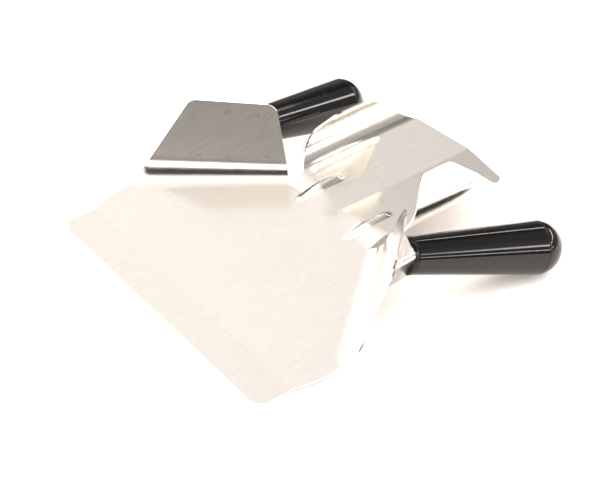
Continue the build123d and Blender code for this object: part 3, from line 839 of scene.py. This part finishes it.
# Soft boxes by direction. Each pair is where a fade starts and ends, measured along the way to the
# camera's side (NEAR), to the camera's right (ACROSS) or up.
HORIZON = (0.02, 0.12)
BOX_END_NEAR = (0.30, 0.37)         # the overhead box ends here
BOX_WING_ACROSS = (-0.58, -0.46)    # but goes on at the left
BOX_DIM_NEAR = (-0.95, -0.70)       # it is dimmer low on the far side
BOX_DIM_ACROSS = (-0.32, -0.20)     # but not at the left
BOX_LEFT_ACROSS = (-0.62, -0.38)    # brighter at the left
BOX_STEP_ACROSS = (-0.24, -0.12)    # and falling off to the right in three steps
BOX_FALL_ACROSS = (-0.04, 0.16)
BOX_STOP_ACROSS = (0.16, 0.35)
ZENITH_UP, ZENITH_ACROSS = (0.89, 0.955), (-0.20, 0.20)
FRONT_NEAR, FRONT_UP, FRONT_ACROSS = (0.72, 0.77), (0.24, 0.31), (0.25, 0.5)
LOW_NEAR = (0.2, 0.6)
GLOW_ACROSS, GLOW_UP, GLOW_NEAR = (0.30, 0.55), (-0.08, 0.05), (0.3, 0.5)
GLOW_MORE_ACROSS, GLOW_MORE_UP = (0.70, 0.80), (0.40, 0.48)
BOX_DIM, BOX_LEFT, BOX_STEP, BOX_FALL = 0.57, 1.6, 0.20, 0.72
ZENITH, ZENITH_MORE = 0.38, 0.75
FRONT, LOW, GLOW, GLOW_MORE, AMBIENT = 2.6, 0.22, 0.62, 0.35, 0.035
STRIP_EDGE, STRIP_END = 0.008, 0.04
STRIPS = (                          # bottom, top, direction on the floor plane, reach, power
    (0.390, 0.470, (0.78, 0.625), 0.895, 26.0),
    (0.400, 0.455, (0.17, 0.985), 0.86, 18.0),
    (0.165, 0.205, (0.89, 0.454), 0.95, 18.0),
    (0.605, 0.630, (-0.275, 0.961), 0.76, 16.0),
)
FLOOR_SIZE = 12.0


def surroundings(stage):
    """Dark room with soft boxes: one large overhead, one in front, and narrow strips at the right."""
    world = bpy.data.worlds.new("studio")
    bpy.context.scene.world = world
    t = Tree(world)
    way = t.node("ShaderNodeTexCoord", out=0)
    x, y, z = [t.node("ShaderNodeSeparateXYZ", None, way, out=k) for k in range(3)]
    near = x * TO_CAMERA[0] + y * TO_CAMERA[1]
    across = x * TO_RIGHT[0] + y * TO_RIGHT[1]
    overhead = (1 - near.fade(*BOX_END_NEAR) * across.fade(*BOX_WING_ACROSS)) * z.fade(*HORIZON)
    overhead = overhead * (1 - (1 - near.fade(*BOX_DIM_NEAR)) * across.fade(*BOX_DIM_ACROSS) * BOX_DIM)
    overhead = overhead * (1 + (1 - across.fade(*BOX_LEFT_ACROSS)) * BOX_LEFT)
    overhead = overhead * (1 - across.fade(*BOX_STEP_ACROSS) * BOX_STEP)
    overhead = overhead * (1 - across.fade(*BOX_FALL_ACROSS) * BOX_FALL) * (1 - across.fade(*BOX_STOP_ACROSS))
    zenith = z.fade(*ZENITH_UP) * (across.fade(*ZENITH_ACROSS) * ZENITH_MORE + ZENITH)
    front = near.fade(*FRONT_NEAR) * z.fade(*FRONT_UP) * (1 - across.fade(*FRONT_ACROSS))
    low = near.fade(*LOW_NEAR) * (1 - z.fade(*FRONT_UP))
    strips = 0.0
    for bottom, top, toward, reach, power in STRIPS:
        facing = x * toward[0] + y * toward[1]
        above = z.fade(bottom - STRIP_EDGE, bottom + STRIP_EDGE)
        band = above * (1 - z.fade(top - STRIP_EDGE, top + STRIP_EDGE))
        strips = strips + band * facing.fade(reach - STRIP_END, reach + STRIP_END / 2) * power
    glow = across.fade(*GLOW_ACROSS) * z.fade(*GLOW_UP) * (1 - near.fade(*GLOW_NEAR))
    glow = glow * (GLOW + across.fade(*GLOW_MORE_ACROSS) * z.fade(*GLOW_MORE_UP) * GLOW_MORE)
    total = overhead * stage.sky + zenith + front * FRONT + low * LOW + strips + glow + AMBIENT
    back = t.node("ShaderNodeBackground", None, Color=(*stage.sky_tint, 1), Strength=total)
    t.node("ShaderNodeOutputWorld", None, back)


class SCOOP_OT_stage(bpy.types.Operator):
    """Sets the floor, the lights and the camera"""
    bl_idname = "scoop.stage"
    bl_label = "Studio"

    def execute(self, context):
        stage = context.scene.scoop_stage
        bpy.ops.object.select_all(action="DESELECT")
        bpy.ops.mesh.primitive_plane_add(size=FLOOR_SIZE, location=(0, 0, CAD_BOX[0][2]))
        floor = context.object
        floor.name = "studio_floor"
        made = bpy.data.materials.new("studio_floor")
        t = Tree(made)
        place = t.node("ShaderNodeTexCoord", out=3)
        tint = context.scene.scoop_colours.floor
        tone = t.mix(t.noise(place, 1.5, 2.0), tint, shade(tint, 0.99))
        t.surface(**{"Base Color": tone, "Roughness": 0.9, "Specular IOR Level": 0.1})
        floor.data.materials.append(made)
        apply_place(floor)
        surroundings(stage)
        for (name, spot, size, warm), power in zip(LAMPS, (stage.key, stage.low_key)):
            add_area(name, spot, size, power, warm).visible_glossy = False
        camera = bpy.data.cameras.new("camera")
        camera.lens, camera.sensor_width, camera.clip_start = stage.lens, 36.0, 0.01
        eye = bpy.data.objects.new("camera", camera)
        eye.location, eye.rotation_euler = stage.eye, stage.view
        context.collection.objects.link(eye)
        context.scene.camera = eye
        context.scene.view_settings.view_transform = "Standard"
        return {"FINISHED"}


class SCOOP_PT_panel(bpy.types.Panel):
    """Everything of the scoop, in the order it is made"""
    bl_idname = "SCOOP_PT_panel"
    bl_label = "Bagging scoop"
    bl_space_type = "VIEW_3D"
    bl_region_type = "UI"
    bl_category = "Scoop"

    def draw(self, context):
        for owner, step in STEPS:
            box = self.layout.box()
            box.operator(step.bl_idname)
            for key in owner:
                group = getattr(context.scene, key)
                for name in group.bl_rna.properties.keys():
                    if name not in ("rna_type", "name"):
                        box.prop(group, name)


GROUPS = {
    "scoop_pan": PanSizes, "scoop_spout": SpoutSizes, "scoop_handle": HandleSizes,
    "scoop_colours": ScoopColours, "scoop_stage": StageValues,
}
STEPS = (
    (("scoop_pan", "scoop_spout"), SCOOP_OT_pan),
    ((), SCOOP_OT_brackets),
    (("scoop_handle", "scoop_colours"), SCOOP_OT_handles),
    ((), SCOOP_OT_fixings),
    (("scoop_stage",), SCOOP_OT_stage),
)


def register():
    for key, group in GROUPS.items():
        bpy.utils.register_class(group)
        setattr(bpy.types.Scene, key, PointerProperty(type=group))
    for _, step in STEPS:
        bpy.utils.register_class(step)
    bpy.utils.register_class(SCOOP_PT_panel)


def unregister():
    bpy.utils.unregister_class(SCOOP_PT_panel)
    for _, step in reversed(STEPS):
        bpy.utils.unregister_class(step)
    for key, group in reversed(GROUPS.items()):
        delattr(bpy.types.Scene, key)
        bpy.utils.unregister_class(group)


def main():
    register()
    for step in (bpy.ops.scoop.pan, bpy.ops.scoop.brackets, bpy.ops.scoop.handles, bpy.ops.scoop.fixings,
                 bpy.ops.scoop.stage):
        step()


if __name__ == "__main__":
    main()
